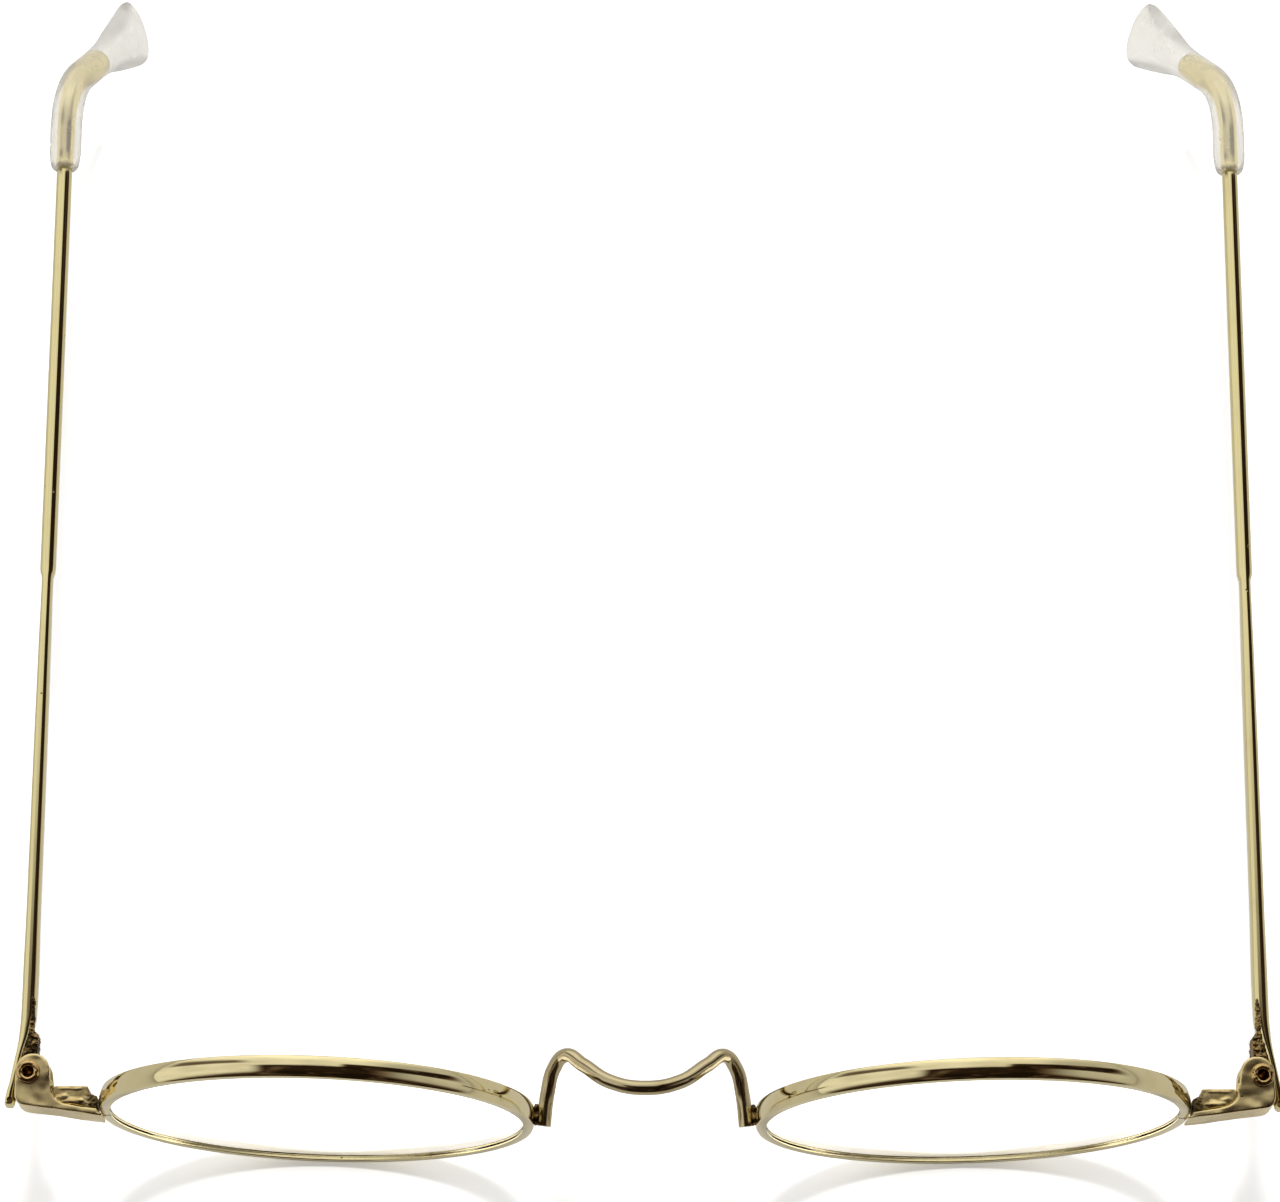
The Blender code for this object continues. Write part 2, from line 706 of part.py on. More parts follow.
clear_scene()
PARTS = new_collection("eyeglasses")
CUTTERS = new_collection("cutters")
build_bridge()
for side_name, side_sign in SIDES.items():
    build_rim(side_name, side_sign)
    build_lens(side_name, side_sign)
    axis = build_hinge_axis(side_name, side_sign)
    build_endpiece(side_name, side_sign, axis)
    build_rim_lock(side_name, side_sign)
    build_rivet(side_name, axis)
    build_leaf(side_name, side_sign, axis)
    build_temple(side_name, side_sign, axis)
    build_ear_tip(side_name, side_sign, axis)
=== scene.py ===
import json
import math

import bmesh
import bpy
from mathutils import Matrix, Vector, noise


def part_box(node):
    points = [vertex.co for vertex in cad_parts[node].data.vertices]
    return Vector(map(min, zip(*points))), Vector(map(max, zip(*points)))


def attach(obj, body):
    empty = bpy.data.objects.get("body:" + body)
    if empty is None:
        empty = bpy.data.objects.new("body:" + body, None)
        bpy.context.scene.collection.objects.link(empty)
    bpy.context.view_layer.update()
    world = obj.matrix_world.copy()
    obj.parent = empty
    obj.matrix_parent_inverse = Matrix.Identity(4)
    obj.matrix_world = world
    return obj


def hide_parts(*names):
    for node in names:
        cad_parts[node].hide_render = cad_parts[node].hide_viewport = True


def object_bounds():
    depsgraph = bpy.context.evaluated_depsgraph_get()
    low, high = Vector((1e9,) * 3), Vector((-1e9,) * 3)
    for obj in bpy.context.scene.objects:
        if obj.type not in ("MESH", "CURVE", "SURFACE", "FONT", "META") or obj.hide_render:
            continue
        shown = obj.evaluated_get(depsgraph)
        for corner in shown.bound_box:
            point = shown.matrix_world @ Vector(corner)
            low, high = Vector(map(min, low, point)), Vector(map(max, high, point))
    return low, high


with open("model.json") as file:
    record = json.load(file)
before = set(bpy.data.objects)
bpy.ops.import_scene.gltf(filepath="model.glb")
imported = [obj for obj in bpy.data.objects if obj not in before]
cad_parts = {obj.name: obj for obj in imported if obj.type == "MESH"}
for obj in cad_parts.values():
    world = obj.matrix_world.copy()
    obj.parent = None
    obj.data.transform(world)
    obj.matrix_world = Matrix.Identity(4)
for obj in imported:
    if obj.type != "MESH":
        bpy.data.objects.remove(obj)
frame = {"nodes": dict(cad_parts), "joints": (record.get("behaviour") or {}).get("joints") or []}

MM = 0.001
MICRON = 0.000001
SIDES = {"left": 1.0, "right": -1.0}
CAD_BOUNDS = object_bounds()

# Places taken from the frame: the hinge axes, and what is measured from them
JOINTS = {joint["child"].split("_")[0]: joint for joint in frame["joints"]}
PIVOT = Vector(JOINTS["left"]["pos_m"])
LEAN = math.atan2(JOINTS["left"]["axis"][0], JOINTS["left"]["axis"][2])
PIVOT_DEPTH = 4.7 * MM
FRONT_Y = PIVOT.y - PIVOT_DEPTH  # front of the rims at their middle
LEVEL = PIVOT.z  # height of the hinges, the rim centres and the bridge's feet

# Rims and lenses
RIM_RADIUS = (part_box("left_rim")[1].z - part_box("left_rim")[0].z) / 2
RIM_WALL = 1.2 * MM
RIM_DEPTH = 2.2 * MM
RIM_CROWN = 0.25 * MM
RIM_EDGE = 0.16 * MM
REAR_BEVEL = 0.42 * MM  # the rear lip falls away from the lens
GROOVE_DEPTH = 0.5 * MM
GROOVE_HALF_WIDTH = 0.65 * MM
GROOVE_FORWARD = 0.27 * MM  # the groove and the lens sit in front of the middle of the rim
RIM_SLIT = 0.3 * MM
RIM_CENTRE_X = 33.8 * MM
FACE_WRAP = math.radians(1.5)
LENS_THICKNESS = 1.0 * MM
LENS_PLAY = 0.12 * MM
LENS_BULGE = 0.4 * MM
RIM_STEPS = 320

# Bridge wire, as (x, depth, height) in mm from the foot to the crest over the nose
BRIDGE_WIRE = 1.5 * MM
BRIDGE_HALF = (
    (10.45, -0.45, 0.0),
    (10.05, 3.0, 0.5),
    (9.4, 5.3, 1.5),
    (8.15, 6.35, 3.0),
    (6.4, 5.1, 4.4),
    (3.6, 3.05, 5.8),
    (0.0, 2.25, 6.5),
)
PINCHED_BEND = BRIDGE_HALF[3]
PINCH_REACH = 2.2 * MM
PINCH_DEPTH = 0.1 * MM
PINCH_PITCH = 0.085 * MM

# Lumps of solder, as (place, radii) in mm. The first three lists give (x, depth, height) of the front,
# and the last one (outwards, back, up) from the hinge axis.
BRIDGE_BEADS = (
    ((11.2, 0.5, -0.05), (0.36, 0.85, 0.5)),
    ((11.2, 1.4, 0.0), (0.28, 0.5, 0.42)),
)
ENDPIECE_LUMPS = (
    ((61.2, 3.2, 1.75), (0.42, 0.5, 0.25)),
    ((61.25, 3.6, 1.8), (0.28, 0.3, 0.2)),
)
LOCK_LUMPS = (
    ((58.9, 1.75, 1.55), (1.5, 0.5, 0.3)),
    ((59.9, 2.15, 1.6), (0.9, 0.4, 0.22)),
    ((59.2, 3.0, 1.62), (1.7, 0.17, 0.17)),
    ((57.2, 1.5, 1.5), (0.4, 0.3, 0.25)),
    ((57.0, 2.2, 1.4), (0.3, 0.3, 0.22)),
)
LEAF_LUMPS = (
    ((0.35, 2.2, 0.95), (0.42, 0.6, 0.3)),
    ((0.1, 3.2, 1.0), (0.4, 0.6, 0.28)),
    ((-0.15, 4.2, 0.95), (0.4, 0.55, 0.3)),
    ((0.2, 4.0, 0.3), (0.4, 0.7, 0.5)),
    ((-0.1, 4.1, -0.6), (0.4, 0.6, 0.4)),
    ((0.1, 4.9, 0.5), (0.3, 0.4, 0.4)),
    ((-0.08, 5.6, 0.92), (0.36, 1.2, 0.32)),
    ((-0.06, 7.2, 0.92), (0.3, 1.3, 0.27)),
)
LOCK_GRAINS_FROM = 57.9 * MM  # the blocks are rough from here inwards
BURNT_TO = 57.35 * MM  # and burnt dark from here inwards
LEAF_GRAINS_FROM = 1.7  # mm behind the hinge axis, clear of the eye

# Hinge rivet. Its profile is given as (radius, height above the pivot) in mm from the floor of its bore.
RIVET_HEAD = 2.2 * MM
RIVET_ROLL = 0.15 * MM  # the rolled head is a little uneven from this much under RIVET_HEAD
RIVET_PROFILE = (
    (0.0, -1.0),
    (0.46, -1.0),
    (0.5, -0.9),
    (0.5, 2.0),
    (0.53, 2.2),
    (0.6, 2.36),
    (0.7, 2.45),
    (0.84, 2.48),
    (0.97, 2.45),
    (1.08, 2.38),
    (1.17, 2.3),
    (1.23, 2.2),
    (1.25, 2.12),
    (1.22, 2.06),
    (0.74, 2.06),
    (0.74, -2.06),
    (1.22, -2.06),
    (1.25, -2.1),
    (1.22, -2.2),
    (1.0, -2.34),
    (0.6, -2.39),
    (0.0, -2.4),
)

# Temple, measured from the hinge axis: (distance behind it, x, half width, half height) in mm
TEMPLE_OFFSET = 0.3 * MM
FLAT_HALF_WIDTH = 0.72
FLAT_HALF_HEIGHT = 1.2
ROUND_RADIUS = 0.84
BUTT_LENGTH = 0.5  # the rounded front end
BUTT_HOLE_AT = (1.88, -2.75, 1.35)
CORE_RADIUS = 0.65
STEP_AT = 54.0
SLEEVE_START = 101.2
TEMPLE_SECTIONS = (
    (-3.4, 1.97, 0.5, 1.05),
    (-2.4, 1.87, 0.5, 1.15),
    (-0.7, 1.56, 0.41, 1.2),
    (2.1, 1.05, 0.42, 1.2),
    (4.5, 0.52, 0.68, 1.2),
    (6.5, 0.33, 0.78, 1.2),
    (10.0, 0.3, 0.8, FLAT_HALF_HEIGHT),
    (18.0, 0.3, FLAT_HALF_WIDTH, FLAT_HALF_HEIGHT),
    (34.0, 0.3, FLAT_HALF_WIDTH - 0.03, FLAT_HALF_HEIGHT),
    (STEP_AT - 8.0, 0.3, 0.62, FLAT_HALF_HEIGHT - 0.03),
    (STEP_AT - 0.9, 0.3, 0.58, 0.94),
    (STEP_AT, 0.3, 0.6, 0.9),
    (STEP_AT + 0.8, 0.3, ROUND_RADIUS - 0.03, ROUND_RADIUS + 0.02),
    (STEP_AT + 1.4, 0.3, ROUND_RADIUS, ROUND_RADIUS),
    (80.0, 0.3, ROUND_RADIUS, ROUND_RADIUS),
    (SLEEVE_START - 0.5, 0.3, ROUND_RADIUS, ROUND_RADIUS),
    (SLEEVE_START + 1.4, 0.3, CORE_RADIUS, CORE_RADIUS),
    (SLEEVE_START + 3.0, 0.3, CORE_RADIUS, CORE_RADIUS),
)

# Ear tip. Its shape is given in sleeve radii: the mouth's dished end as (mm from the start, radius), the
# sleeve as (mm from the start, radius), and the paddle as (share from neck to end, wide, thick).
SLEEVE_RADIUS = 1.72 * MM
BEND_AT = 111.0 * MM
BEND_REACH = 5.0 * MM
TIP_DROP = 19.9 * MM
TIP_BACK = 16.17 * MM
TIP_INWARDS = {"left": 7.3 * MM, "right": 5.9 * MM}
CORE_PAST_BEND = 11.0 * MM
NECK_PAST_BEND = 12.0 * MM
PADDLE_SIDEWAYS = Vector((-0.3, -0.8, -0.52))
TIP_MOUTH = ((0.05, 0.02), (0.04, 0.46), (0.02, 0.58), (-0.01, 0.66))
TIP_SHAPE_AT_MOUTH = ((0.0, 0.72), (0.12, 0.79), (0.4, 0.87), (1.0, 0.94), (2.2, 1.0))
TIP_SHAPE_IN_PADDLE = (
    (-0.22, 1.0, 0.96),
    (0.0, 1.06, 0.88),
    (0.3, 1.5, 0.74),
    (0.6, 1.93, 0.64),
    (0.8, 2.13, 0.58),
    (0.89, 2.05, 0.54),
    (0.95, 1.75, 0.46),
    (0.985, 1.22, 0.34),
    (1.0, 0.6, 0.16),
)


# ---------------------------------------------------------------- places


def place(side, x, depth, height=0.0):
    """A point of the front: x outwards, depth behind the rims' front, height above the hinges."""
    return Vector((side * x, FRONT_Y + depth, LEVEL + height))


def hinge_frame(side):
    """From temple places (outwards, back, up) to the row frame."""
    pivot = Vector((side * PIVOT.x, PIVOT.y, PIVOT.z))
    return Matrix.Translation(pivot) @ Matrix.Rotation(LEAN, 4, "Y") @ Matrix.Diagonal((side, 1, 1, 1))


def rim_frame(side):
    """From places about a rim's own axis (local Z forwards) to the row frame."""
    centre = place(side, RIM_CENTRE_X, RIM_DEPTH / 2)
    turn = Matrix.Rotation(side * FACE_WRAP, 4, "Z") @ Matrix.Rotation(math.pi / 2, 4, "X")
    return Matrix.Translation(centre) @ turn


# ---------------------------------------------------------------- mesh helpers


def seated(mesh, frame_matrix):
    """Moves a mesh into a frame, and turns its faces round where the frame mirrors."""
    mesh.transform(frame_matrix)
    if frame_matrix.determinant() < 0:
        mesh.flip_normals()
    return mesh


def new_object(name, data):
    obj = bpy.data.objects.new(name, data)
    bpy.context.scene.collection.objects.link(obj)
    return obj


def mesh_from(name, work):
    """A mesh from a bmesh, which is freed."""
    mesh = bpy.data.meshes.new(name)
    work.to_mesh(mesh)
    work.free()
    return mesh


def welded(mesh, distance, facing_out=True):
    work = bmesh.new()
    work.from_mesh(mesh)
    bmesh.ops.remove_doubles(work, verts=work.verts, dist=distance)
    if facing_out:
        bmesh.ops.recalc_face_normals(work, faces=work.faces)
    work.to_mesh(mesh)
    work.free()
    return mesh


def mesh_of(name, points, faces):
    mesh = bpy.data.meshes.new(name)
    mesh.from_pydata(points, [], faces)
    return welded(mesh, 0.0005 * MM)


def loft(name, rings, cyclic=False):
    """A skin over rings of equal size, capped unless it is cyclic."""
    around = len(rings[0])
    total = len(rings)
    points = [point for ring in rings for point in ring]
    faces = []
    for i in range(total if cyclic else total - 1):
        row, following = i * around, (i + 1) % total * around
        for j in range(around):
            k = (j + 1) % around
            faces.append((row + j, row + k, following + k, following + j))
    if not cyclic:
        faces.append(tuple(range(around)))
        faces.append(tuple(range((total - 1) * around, total * around)))
    return mesh_of(name, points, faces)


def turned(name, profile, steps, first=0.0, last=2 * math.pi):
    """A closed profile of (radius, height) turned about Z, all the way round or between two angles."""
    whole = last - first > 2 * math.pi - 1e-6
    rings = []
    for i in range(steps if whole else steps + 1):
        angle = first + (last - first) * i / steps
        rings.append([Vector((r * math.cos(angle), r * math.sin(angle), z)) for r, z in profile])
    return loft(name, rings, cyclic=whole)


def smooth_shaded(mesh, sharp_angle=40.0):
    mesh.shade_smooth()
    mesh.set_sharp_from_angle(angle=math.radians(sharp_angle))
    return mesh


def rounded(points, radius, steps=4):
    """A closed outline with each corner replaced by a small curve."""
    result = []
    for i, point in enumerate(points):
        corner = Vector(point)
        before = Vector(points[i - 1]) - corner
        after = Vector(points[(i + 1) % len(points)]) - corner
        if before.angle(after) > math.radians(150):
            result.append(tuple(corner))
            continue
        start = corner + before.normalized() * min(radius, before.length * 0.4)
        end = corner + after.normalized() * min(radius, after.length * 0.4)
        for step in range(steps + 1):
            t = step / steps
            result.append(tuple(start * (1 - t) ** 2 + corner * 2 * t * (1 - t) + end * t * t))
    return result


def eased(rows, x):
    """The values of a table at x, along smooth curves through its rows."""
    x = min(max(x, rows[0][0]), rows[-1][0])
    i = max(k for k in range(len(rows) - 1) if rows[k][0] <= x)
    left, right = rows[i], rows[i + 1]
    span = right[0] - left[0]
    t = (x - left[0]) / span
    values = []
    for column in range(1, len(left)):
        slopes = []
        for k in (i, i + 1):
            low, high = rows[max(k - 1, 0)], rows[min(k + 1, len(rows) - 1)]
            before = (rows[k][column] - low[column]) / max(rows[k][0] - low[0], 1e-9)
            after = (high[column] - rows[k][column]) / max(high[0] - rows[k][0], 1e-9)
            slopes.append(0.0 if before * after <= 0 else 2 * before * after / (before + after))
        h = (2 * t**3 - 3 * t**2 + 1, t**3 - 2 * t**2 + t, 3 * t**2 - 2 * t**3, t**3 - t**2)
        start = h[0] * left[column] + h[1] * span * slopes[0]
        values.append(start + h[2] * right[column] + h[3] * span * slopes[1])
    return values


def applied(mesh, *modifiers):
    """The mesh after modifiers, each given as (type, settings)."""
    holder = new_object(mesh.name, mesh)
    for kind, settings in modifiers:
        modifier = holder.modifiers.new(kind, kind)
        for key, value in settings.items():
            setattr(modifier, key, value)
    graph = bpy.context.evaluated_depsgraph_get()
    result = bpy.data.meshes.new_from_object(holder.evaluated_get(graph))
    bpy.data.objects.remove(holder)
    return result


def joined(name, meshes):
    work = bmesh.new()
    for mesh in meshes:
        work.from_mesh(mesh)
    return mesh_from(name, work)


def softened(name, meshes, voxel, passes):
    """Closed meshes melted into one skin with rounded edges."""
    mesh = joined(name, meshes)
    remesh = ("REMESH", {"mode": "VOXEL", "voxel_size": voxel, "use_smooth_shade": True})
    smoothing = ("SMOOTH", {"factor": 0.6, "iterations": passes})
    return applied(mesh, remesh, smoothing)


def roughened(mesh, amount, size, where=lambda point: 1.0):
    """Moves each point along its normal by noise of that size, as much as where() says."""
    moved = []
    for vertex in mesh.vertices:
        share = where(vertex.co)
        height = noise.fractal(vertex.co / size, 0.7, 2.0, 3) if share else 0.0
        moved.append(vertex.co + vertex.normal * amount * share * height)
    for vertex, point in zip(mesh.vertices, moved):
        vertex.co = point
    mesh.update()
    return mesh


def bead(centre, radii, seed):
    """A lumpy drop of solder."""
    work = bmesh.new()
    bmesh.ops.create_icosphere(work, subdivisions=4, radius=1.0)
    for vertex in work.verts:
        lump = 1 + 0.22 * noise.noise(vertex.co * 1.7 + Vector((seed, 0, 0)))
        vertex.co = Vector((vertex.co.x * radii[0], vertex.co.y * radii[1], vertex.co.z * radii[2])) * lump
        vertex.co += centre
    return mesh_from("bead", work)


def beads(rows, to_row, seeds=None):
    """Drops of solder from rows of (place, radii) in mm. to_row() takes a place in metres to the frame."""
    drops = []
    for seed, (at, radii) in zip(seeds or range(len(rows)), rows):
        drops.append(bead(to_row([value * MM for value in at]), [radius * MM for radius in radii], seed))
    return drops


def cad_mesh(node):
    """A copy of a CAD node's mesh, with the faces welded together."""
    mesh = frame["nodes"][node].data.copy()
    mesh.materials.clear()
    return welded(mesh, 0.001 * MM, facing_out=False)


def add_piece(name, mesh, look, body, slot, *replaced):
    obj = new_object(name, mesh)
    mesh.materials.clear()
    mesh.materials.append(look)
    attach(obj, body)
    if replaced:
        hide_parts(*replaced)
    if look in (LOOKS["lens"], LOOKS["tip"]):
        obj.visible_shadow = False
        obj.visible_diffuse = False
    return obj


# ---------------------------------------------------------------- materials


class Look:
    """A material under construction: its node tree with short ways to add nodes."""

    def __init__(self, name):
        self.material = bpy.data.materials.new(name)
        self.material.use_nodes = True
        self.tree = self.material.node_tree
        self.shader = self.tree.nodes["Principled BSDF"]
        self.place = self.add("ShaderNodeTexCoord").outputs["Object"]

    def add(self, kind, **settings):
        node = self.tree.nodes.new(kind)
        for key, value in settings.items():
            setattr(node, key, value)
        return node

    def link(self, source, target):
        self.tree.links.new(source, target)

    def fix(self, **values):
        for key, value in values.items():
            self.shader.inputs[key.replace("_", " ")].default_value = value

    def noise(self, scale, detail=3.0, stretch=(1, 1, 1), roughness=0.55):
        mapping = self.add("ShaderNodeMapping")
        mapping.inputs["Scale"].default_value = stretch
        self.link(self.place, mapping.inputs["Vector"])
        node = self.add("ShaderNodeTexNoise")
        node.inputs["Scale"].default_value = scale
        node.inputs["Detail"].default_value = detail
        node.inputs["Roughness"].default_value = roughness
        self.link(mapping.outputs["Vector"], node.inputs["Vector"])
        return node.outputs["Fac"]

    def cells(self, scale):
        node = self.add("ShaderNodeTexVoronoi")
        node.inputs["Scale"].default_value = scale
        self.link(self.place, node.inputs["Vector"])
        return node.outputs["Distance"]

    def range(self, value, low, high, to_low, to_high):
        node = self.add("ShaderNodeMapRange", interpolation_type="SMOOTHSTEP")
        for key, number in zip(("From Min", "From Max", "To Min", "To Max"), (low, high, to_low, to_high)):
            node.inputs[key].default_value = number
        self.link(value, node.inputs["Value"])
        return node.outputs["Result"]

    def blend(self, factor, first, second):
        """A colour between two, each a colour or another node's output."""
        node = self.add("ShaderNodeMix", data_type="RGBA")
        self.link(factor, node.inputs["Factor"])
        sockets = [socket for socket in node.inputs if socket.type == "RGBA"]
        for socket, colour in zip(sockets, (first, second)):
            if isinstance(colour, tuple):
                socket.default_value = (*colour, 1.0)
            else:
                self.link(colour, socket)
        return [socket for socket in node.outputs if socket.type == "RGBA"][0]

    def bump(self, height, distance, strength=1.0, under=None):
        node = self.add("ShaderNodeBump")
        node.inputs["Strength"].default_value = strength
        node.inputs["Distance"].default_value = distance
        self.link(height, node.inputs["Height"])
        if under is not None:
            self.link(under, node.inputs["Normal"])
        return node.outputs["Normal"]

    def finish(self, colour=None, roughness=None, normal=None):
        if colour is not None:
            self.link(colour, self.shader.inputs["Base Color"])
        if roughness is not None:
            self.link(roughness, self.shader.inputs["Roughness"])
        if normal is not None:
            self.link(normal, self.shader.inputs["Normal"])
        return self.material


def gold_look(name, pale, brown, smoothest, roughest, waviness, stretch=(1, 1, 1), stain=0.5):
    """Plated metal: faint waves of polishing, smudges, a little tarnish and sparse pits."""
    look = Look(name)
    look.fix(Metallic=1.0)
    smudges = look.noise(scale=420, detail=4, stretch=stretch)
    tarnish = look.range(look.noise(scale=170), 0.5, 0.78, 0.0, stain)
    pits = look.range(look.cells(scale=430), 0.03, 0.07, 1.0, 0.0)
    plate = look.blend(tarnish, pale, brown)
    colour = look.blend(pits, plate, tuple(0.45 * c for c in brown))
    roughness = look.range(smudges, 0.35, 0.75, smoothest, roughest)
    waves = look.bump(look.noise(scale=260, detail=2, stretch=stretch), waviness)
    normal = look.bump(pits, distance=-30 * MICRON, strength=0.5, under=waves)
    return look.finish(colour, roughness, normal)


def solder_look(name, pale, brown, grain, flux_share, smoothest, roughest, relief, burnt_to=0.0):
    """Melted gold solder: soft grains, dark flux between them, and burnt dark where |x| is under burnt_to."""
    look = Look(name)
    look.fix(Metallic=1.0)
    grains = look.cells(grain)
    between = look.range(grains, 0.4, 0.7, 0.0, 0.5)
    flux_from = 0.62 - 0.3 * flux_share
    flux = look.range(look.noise(scale=480), flux_from, flux_from + 0.18, 0.0, 0.9)
    colour = look.blend(flux, look.blend(between, pale, brown), tuple(0.3 * c for c in brown))
    if burnt_to:
        split = look.add("ShaderNodeSeparateXYZ")
        look.link(look.place, split.inputs[0])
        out = look.add("ShaderNodeMath", operation="ABSOLUTE")
        look.link(split.outputs["X"], out.inputs[0])
        burnt = look.range(out.outputs["Value"], burnt_to - 0.3 * MM, burnt_to + 0.3 * MM, 0.9, 0.0)
        colour = look.blend(burnt, colour, tuple(0.25 * c for c in brown))
    roughness = look.range(look.noise(scale=900), 0.3, 0.7, smoothest, roughest)
    normal = look.bump(look.range(grains, 0.0, 0.6, 1.0, 0.0), distance=30 * MICRON, strength=relief)
    return look.finish(colour, roughness, normal)


def lens_look(name):
    """Clear hard-coated lens, very faintly uneven in tint."""
    look = Look(name)
    look.fix(IOR=1.6, Transmission_Weight=1.0, Roughness=0.0)
    look.fix(Coat_Weight=1.0, Coat_IOR=1.6, Coat_Roughness=0.0)
    tint = look.range(look.noise(scale=60, detail=4), 0.4, 0.7, 0.0, 1.0)
    return look.finish(look.blend(tint, (0.99, 0.992, 0.992), (0.975, 0.98, 0.982)))


def tip_look(name):
    """Moulded plastic, clear with a warm milkiness."""
    look = Look(name)
    look.fix(IOR=1.42, Transmission_Weight=0.74)
    milkiness = look.range(look.noise(scale=150), 0.35, 0.7, 0.0, 1.0)
    colour = look.blend(milkiness, (0.92, 0.91, 0.875), (0.87, 0.855, 0.8))
    roughness = look.range(look.noise(scale=300, detail=4), 0.4, 0.75, 0.18, 0.3)
    normal = look.bump(look.noise(scale=320, detail=2), distance=30 * MICRON)
    return look.finish(colour, roughness, normal)


PALE_GOLD = (0.80, 0.70, 0.40)
TAN_GOLD = (0.62, 0.50, 0.26)
ALONG_Y = (1, 0.12, 1)
LOOKS = {
    "polished": gold_look("polished_gold", PALE_GOLD, TAN_GOLD, 0.04, 0.1, 6 * MICRON),
    "temple": gold_look(
        "temple_gold", (0.82, 0.72, 0.38), TAN_GOLD, 0.05, 0.12, 5 * MICRON, stretch=ALONG_Y, stain=0.3
    ),
    # The bridge wire is the rims' polished gold in a darker, browner copy: painted shade standing in for the
    # dark surroundings it reflects.
    "bridge": gold_look(
        "bridge_gold", (0.54, 0.455, 0.27), (0.32, 0.23, 0.12), 0.1, 0.2, 8 * MICRON, stain=0.7
    ),
    "satin": gold_look(
        "satin_gold", (0.84, 0.68, 0.34), (0.3, 0.22, 0.09), 0.2, 0.34, 10 * MICRON, stain=0.65
    ),
    "brass": gold_look(
        "rivet_brass", (0.58, 0.4, 0.17), (0.26, 0.15, 0.05), 0.1, 0.25, 10 * MICRON, stain=0.6
    ),
    "screw": gold_look("screw_metal", (0.66, 0.58, 0.4), (0.34, 0.22, 0.1), 0.15, 0.3, 10 * MICRON),
    "lock": solder_look(
        "lock_gold", (0.8, 0.64, 0.31), (0.42, 0.28, 0.11), 1400, 0.0, 0.24, 0.4, 0.3, burnt_to=BURNT_TO
    ),
    "solder": solder_look(
        "soldered_gold", (0.34, 0.23, 0.09), (0.06, 0.04, 0.016), 2600, 0.7, 0.12, 0.28, 0.7
    ),
    "lens": lens_look("lens_clear"),
    "tip": tip_look("tip_clear"),
}


# ---------------------------------------------------------------- front


def rim_profile():
    """Half-hollow band: domed outer face, rounded edges and the lens groove inside."""
    half = RIM_DEPTH / 2
    inner = RIM_RADIUS - RIM_WALL
    dome = [i / 5 for i in range(5, -6, -1)]
    outside = [(RIM_RADIUS - RIM_CROWN * t * t, half * t) for t in dome]
    inside = [
        (inner + REAR_BEVEL, -half),
        (inner, GROOVE_FORWARD - GROOVE_HALF_WIDTH),
        (inner + GROOVE_DEPTH, GROOVE_FORWARD),
        (inner, GROOVE_FORWARD + GROOVE_HALF_WIDTH),
        (inner, half),
    ]
    return rounded(outside + inside, RIM_EDGE)


def build_rim(name, side):
    gap = RIM_SLIT / 2 / RIM_RADIUS
    middle = 0.0 if side > 0 else math.pi
    mesh = turned(name, rim_profile(), RIM_STEPS, middle + gap, middle + 2 * math.pi - gap)
    mesh.transform(rim_frame(side))
    smooth_shaded(mesh, 50)
    add_piece(name + "_rim_band", mesh, LOOKS["polished"], "front", "polished_gold", name + "_rim")


def lens_profile():
    """From the middle of the front face over the bevelled edge to the middle of the back face."""
    half = LENS_THICKNESS / 2
    edge = RIM_RADIUS - RIM_WALL + GROOVE_DEPTH - LENS_PLAY
    shoulder = edge - GROOVE_DEPTH * half / GROOVE_HALF_WIDTH
    across = [shoulder * i / 24 for i in range(25)]
    front = [(r, half + LENS_BULGE * (1 - (r / shoulder) ** 2)) for r in across]
    back = [(r, -half + LENS_BULGE * (1 - (r / shoulder) ** 2)) for r in reversed(across)]
    section = front + [(edge, 0.05 * MM), (edge, -0.05 * MM)] + back
    return [(r, z + GROOVE_FORWARD) for r, z in section]


def build_lens(name, side):
    mesh = turned(name, lens_profile(), 160)
    mesh.transform(rim_frame(side))
    smooth_shaded(mesh, 30)
    add_piece(name + "_clear_lens", mesh, LOOKS["lens"], "front", "lens_clear", name + "_lens")


def bridge_wire():
    half = [Vector(point) * MM for point in BRIDGE_HALF]
    route = [place(1, *point) for point in half] + [place(-1, *point) for point in reversed(half[:-1])]
    curve = bpy.data.curves.new("bridge_wire", "CURVE")
    curve.dimensions = "3D"
    curve.bevel_depth = BRIDGE_WIRE / 2
    curve.bevel_resolution = 12
    curve.resolution_u = 24
    curve.use_fill_caps = True
    spline = curve.splines.new("BEZIER")
    spline.bezier_points.add(len(route) - 1)
    for knot, point in zip(spline.bezier_points, route):
        knot.co = point
        knot.handle_left_type = "AUTO"
        knot.handle_right_type = "AUTO"
    holder = new_object("bridge_wire", curve)
    graph = bpy.context.evaluated_depsgraph_get()
    mesh = bpy.data.meshes.new_from_object(holder.evaluated_get(graph))
    bpy.data.objects.remove(holder)
    return welded(mesh, 0.001 * MM)


def build_bridge():
    """The saddle wire, with the pinch marks of the pliers inside its two bends."""
    mesh = bridge_wire()
    for side in SIDES.values():
        bend = place(side, *(value * MM for value in PINCHED_BEND))
        inside = Vector((-0.35 * side, -0.93, 0.1)).normalized()
        for vertex in mesh.vertices:
            near = 1 - (vertex.co - bend).length / PINCH_REACH
            facing = vertex.normal.dot(inside)
            if near > 0 and facing > 0.25:
                tooth = 0.5 + 0.5 * math.sin(vertex.co.x / PINCH_PITCH)
                vertex.co -= vertex.normal * PINCH_DEPTH * tooth * min(1, 2 * near) * (facing - 0.25)
    smooth_shaded(mesh, 50)
    add_piece("bridge_wire", mesh, LOOKS["bridge"], "front", "polished_gold", "bridge")
    for name, side in SIDES.items():
        foot = beads(BRIDGE_BEADS, lambda at, side=side: place(side, *at))
        solder = softened(name + "_foot_solder", foot, voxel=0.045 * MM, passes=3)
        roughened(solder, amount=0.02 * MM, size=0.25 * MM)
        smooth_shaded(solder, 60)
        add_piece(name + "_bridge_solder", solder, LOOKS["solder"], "front", "soldered_gold")


# ---------------------------------------------------------------- endpieces, locks, hinges


